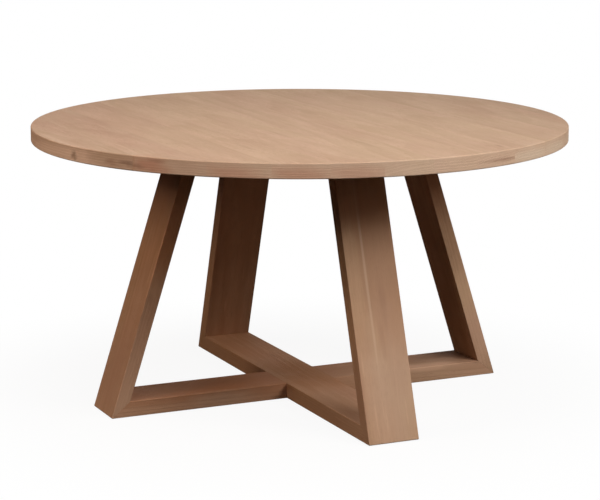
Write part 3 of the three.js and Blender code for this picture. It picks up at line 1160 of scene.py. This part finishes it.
for legName, settings in legs.items():
    leg = makeLeg("leg" + legName.capitalize())
    standUp(leg, settings["turn"])
    smoothFaces(leg)
    spin = Matrix.Rotation(settings["turn"], 3, "Z")
    alongLeg = spin @ (outerCorners[1] - outerCorners[0]).normalized()
    acrossLeg = spin @ yAxis
    legWood = barWood(
        "oakLeg" + legName.capitalize(),
        *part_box("leg_" + legName),
        alongLeg,
        acrossLeg.cross(alongLeg),
        settings,
        legMarks.get(legName, ()),
    )
    dress(leg, legWood, "frame_wood", "leg_" + legName)
print("legs made")

rails = {
    "floor_rail_x": {"turn": 0.0, "takesUpperHalf": True, "shade": 0.92, "ruddy": 0.7},
    "floor_rail_y": {"turn": math.pi / 2, "takesUpperHalf": False, "shade": 0.9, "ruddy": 0.92},
    "top_rail_x": {"turn": 0.0, "takesUpperHalf": True, "shade": 0.9, "ruddy": 0.6},
    "top_rail_y": {"turn": math.pi / 2, "takesUpperHalf": False, "shade": 0.9, "ruddy": 0.5},
}
railMarks = {
    "floor_rail_x": [
        # painted warm shade under the table, strongest on the left and on the top
        ((-0.22, 0.0, 0.03), (0.8, 0.3, 0.3), "rust", 0.7),
        ((-0.3, 0.0, 0.067), (0.6, 0.3, 0.06), "auburn", 0.7),
        # painted light on the left of the front face
        ((-0.26, -0.072, 0.02), (0.15, 0.02, 0.04), "tan", 0.6),
        # painted light along the front edge of the top by the right leg
        ((0.35, -0.065, 0.0455), (0.23, 0.06, 0.02), "apricot", 0.8),
        # painted shadow of the right leg on the back of the top
        ((0.53, 0.04, 0.0455), (0.3, 0.14, 0.02), "dusk", 0.7),
    ],
    "floor_rail_y": [
        # painted warm shade on the top at and behind the crossing, under the table
        ((0.0, 0.1, 0.075), (0.35, 0.5, 0.06), "copper", 0.6),
        ((0.0, 0.0, 0.06), (0.2, 0.2, 0.06), "sienna", 0.6),
        ((0.022, 0.232, 0.0445), (0.004, 0.04, 0.004), "soot", 0.5),
    ],
}
screwNames = namesOf("screw")
# How far from the middle the screws stand, the same on both top rails
screwMiddles = [(low.x + high.x) / 2 for low, high in map(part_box, screwNames)]
screwPlaces = sorted({round(middle, 5) for middle in screwMiddles} - {0.0})
for railName, settings in rails.items():
    onFloor = railName.startswith("floor")
    bottom = 0.0 if onFloor else frames["height"] - frames["railHeight"]
    pieceName = "".join(word.capitalize() for word in railName.split("_"))
    rail = makeRail(
        pieceName[0].lower() + pieceName[1:],
        footMitre if onFloor else headMitre,
        bottom,
        settings["takesUpperHalf"],
    )
    if not onFloor:
        cutScrewSlots(rail, bottom, screwPlaces, -settings["turn"])
    standUp(rail, settings["turn"])
    smoothFaces(rail)
    alongRail = Matrix.Rotation(settings["turn"], 3, "Z") @ xAxis
    railWood = barWood(
        "oak" + pieceName,
        *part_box(railName),
        alongRail,
        zAxis,
        settings,
        railMarks.get(railName, ()),
    )
    dress(rail, railWood, "frame_wood", railName)
print("rails made")

# Screws with a flange head, a hexagon socket and a short thread at the tip
screws = {
    "headRadius": 0.0085,
    "headHeight": 0.005,
    "headEase": 0.0012,
    "headSteps": 5,
    "chamfer": 0.0004,
    "shankRadius": 0.004,
    "rootRadius": 0.0034,
    "grip": 0.025,
    "length": 0.041,
    "pitch": 0.00125,
    "socketAcross": 0.005,
    "socketDepth": 0.003,
    "crest": 1.5,
    "flank": 2.6,
    "ringsPerPitch": 6,
    "runOut": 4,  # rings over which the thread fades at each end
    "steps": 36,
}


# The ridge has a flat crest and a flat root
def threadRing(height, grown):
    steps = screws["steps"]
    points = []
    for i in range(steps):
        angle = 2 * math.pi * i / steps
        phase = (height / screws["pitch"] - i / steps) % 1
        ridge = screws["crest"] - screws["flank"] * abs(2 * phase - 1)
        ridge = max(0, min(1, ridge)) * grown
        radius = screws["rootRadius"] + (screws["shankRadius"] - screws["rootRadius"]) * ridge
        points.append(Vector((radius * math.cos(angle), radius * math.sin(angle), height)))
    return points


def makeScrewMesh():
    head, ease = screws["headRadius"], screws["headEase"]
    shank, steps = screws["shankRadius"], screws["steps"]
    chamfer, top = screws["chamfer"], screws["headHeight"]
    levels = [(head - ease, 0)]
    for i in range(1, screws["headSteps"] + 1):
        turn = math.radians(90 * i / screws["headSteps"])
        levels.append((head - ease + ease * math.sin(turn), ease - ease * math.cos(turn)))
    levels += [(head, top), (shank + chamfer, top), (shank, top + chamfer), (shank, screws["grip"])]
    rings = [circle(radius, height, steps) for radius, height in levels]
    start, stop = screws["grip"] + chamfer, screws["length"]
    count = round((stop - start) / screws["pitch"] * screws["ringsPerPitch"])
    for i in range(count + 1):
        height = start + (stop - start) * i / count
        grown = min(1, i / screws["runOut"], (count - i) / screws["runOut"])
        rings.append(threadRing(height, grown))
    build = bmesh.new()
    addRings(build, rings)
    screw = pieceFrom("tableScrew", build)
    socket = bmesh.new()
    across = screws["socketAcross"] / math.sqrt(3)
    addTurned(socket, [(across, -overshoot), (across, screws["socketDepth"])], 6)
    carve(screw, socket)
    smoothFaces(screw)
    return screw


metals = {
    "steel": (0.56, 0.57, 0.58),
    "brass": (0.64, 0.45, 0.2),
    "steelRoughness": 0.28,
    "brassRoughness": 0.32,
    "scratchRoughness": 0.22,
    "scratchSize": 0.0006,
    "smearShade": 0.72,
}


def makeMetal(name, colour, roughness):
    material, tree, shader = newMaterial(name)
    place = addNode(tree, "ShaderNodeTexCoord").outputs["Object"]
    rub = placeGroup(tree, scuffs, {"Place": place, "Grain Size": metals["scratchSize"]})
    clean, smeared = tinted(colour), tinted(colour, metals["smearShade"])
    rough = calculate(tree, "MULTIPLY_ADD", rub["Fine"], metals["scratchRoughness"], roughness)
    feed(tree, shader.inputs["Base Color"], mixColours(tree, rub["Broad"], clean, smeared))
    feed(tree, shader.inputs["Roughness"], rough)
    shader.inputs["Metallic"].default_value = 1
    return material


zincSteel = makeMetal("zincSteel", metals["steel"], metals["steelRoughness"])
brass = makeMetal("insertBrass", metals["brass"], metals["brassRoughness"])
firstScrew = makeScrewMesh()
for screwIndex, screwName in enumerate(screwNames):
    low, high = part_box(screwName)
    screw = firstScrew if screwIndex == 0 else linkObject("tableScrew", firstScrew.data)
    screw.name = f"tableScrew{screwIndex + 1:02d}"
    screw.location = ((low.x + high.x) / 2, (low.y + high.y) / 2, low.z)
    dress(screw, zincSteel, "screw_steel", screwName)
print("screws made")

# Felt glides under the feet
glides = {
    "steps": 72,
    "ease": 0.0006,
    "easeSteps": 4,
    "colour": (0.045, 0.036, 0.031),
    "fuzz": (0.075, 0.062, 0.054),
    "napSize": 0.0009,
    "napHeight": 0.0003,
    "roughness": 0.9,
    "patchRoughness": 0.08,
    "sheen": 0.3,
}


def makeFelt():
    material, tree, shader = newMaterial("glideFelt")
    place = addNode(tree, "ShaderNodeTexCoord").outputs["Object"]
    nap = placeGroup(tree, scuffs, {"Place": place, "Grain Size": glides["napSize"]})
    colour = mixColours(tree, nap["Fine"], tinted(glides["colour"]), tinted(glides["fuzz"]))
    rough = calculate(
        tree, "MULTIPLY_ADD", nap["Broad"], glides["patchRoughness"], glides["roughness"]
    )
    bump = addNode(tree, "ShaderNodeBump", {"Height": nap["Fine"], "Distance": glides["napHeight"]})
    feed(tree, shader.inputs["Base Color"], colour)
    feed(tree, shader.inputs["Roughness"], rough)
    feed(tree, shader.inputs["Normal"], bump.outputs[0])
    shader.inputs["Sheen Weight"].default_value = glides["sheen"]
    return material


def makeGlide(nodeName, felt):
    low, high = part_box(nodeName)
    radius = (high.x - low.x) / 2
    levels = easedLevels(radius, low.z, high.z, glides["ease"], glides["easeSteps"])
    shift = Vector(((low.x + high.x) / 2, (low.y + high.y) / 2, 0))
    build = bmesh.new()
    addTurned(build, levels, glides["steps"], shift)
    side = nodeName.split("_")[1].capitalize()
    glide = pieceFrom("feltGlide" + side, build)
    smoothFaces(glide)
    dress(glide, felt, "glide_felt", nodeName)


felt = makeFelt()
for glideName in namesOf("glide"):
    makeGlide(glideName, felt)
print("glides made")

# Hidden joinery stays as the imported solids
splineMiddle, tenonMiddle = Vector((0, 0, 0.742)), Vector((0, 0, 0.3))
splineLog = sawnFrom(splineMiddle, yAxis, zAxis, pith=(0.03, -0.08), lean=0.01, slide=3.0)
tenonLog = sawnFrom(tenonMiddle, zAxis, yAxis, pith=(0.04, -0.09), lean=0.01, slide=7.0)
splineWood = makeWood("beechSpline", beech, splineLog, yAxis, zAxis)
tenonWood = makeWood("beechTenon", beech, tenonLog, zAxis, yAxis)
for nodeName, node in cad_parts.items():
    for stem, material in (("top_spline", splineWood), ("_tenon_", tenonWood), ("insert", brass)):
        if stem in nodeName:
            node.data.materials.clear()
            node.data.materials.append(material)
print("hidden joinery finished")

low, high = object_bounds()
